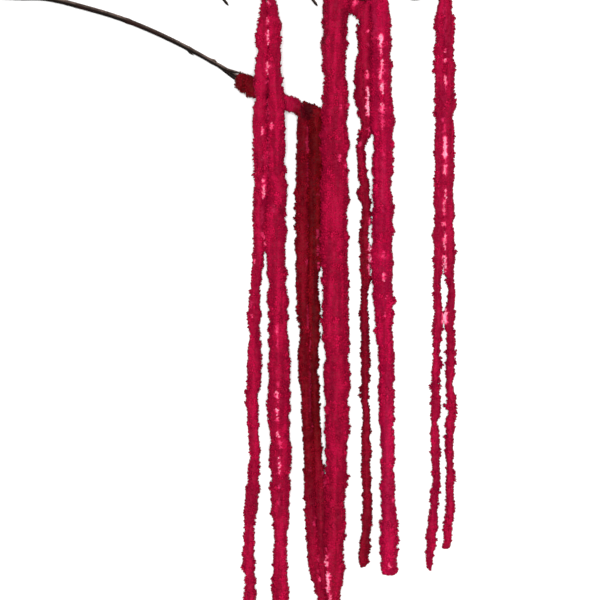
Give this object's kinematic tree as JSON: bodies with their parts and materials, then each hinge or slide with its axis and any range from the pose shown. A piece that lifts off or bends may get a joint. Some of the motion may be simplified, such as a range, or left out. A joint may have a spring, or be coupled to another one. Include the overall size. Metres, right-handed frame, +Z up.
{
  "type": "amaranth seed head",
  "caption": "Cut spray of dried drooping amaranth: long crimson seed tassels on a thin, dark, branching stem, lying flat.",
  "frame": {"origin": "on the surface that the spray lies on, at the flat spot under the thickest tassel", "axes": "+Y along the tassels towards the stem, +X across them to the right as seen from above, +Z up"},
  "size_m": [0.5209, 0.6338, 0.0321],
  "materials": {
    "dry_stem": "dull dry bark",
    "crimson_florets": "papery dry florets",
    "dark_florets": "papery dry florets"
  },
  "bodies": {
    "root": {"stem": "dry_stem", "tassel_left_thin": "crimson_florets", "tassel_left_thick": "crimson_florets", "tassel_dark_outer": "dark_florets", "tassel_dark_inner": "dark_florets", "tassel_main": "crimson_florets", "tassel_middle_thin": "dark_florets", "tassel_middle_thick": "crimson_florets", "tassel_right_long": "crimson_florets", "tassel_right_short": "crimson_florets"}
  },
  "joints": []
}
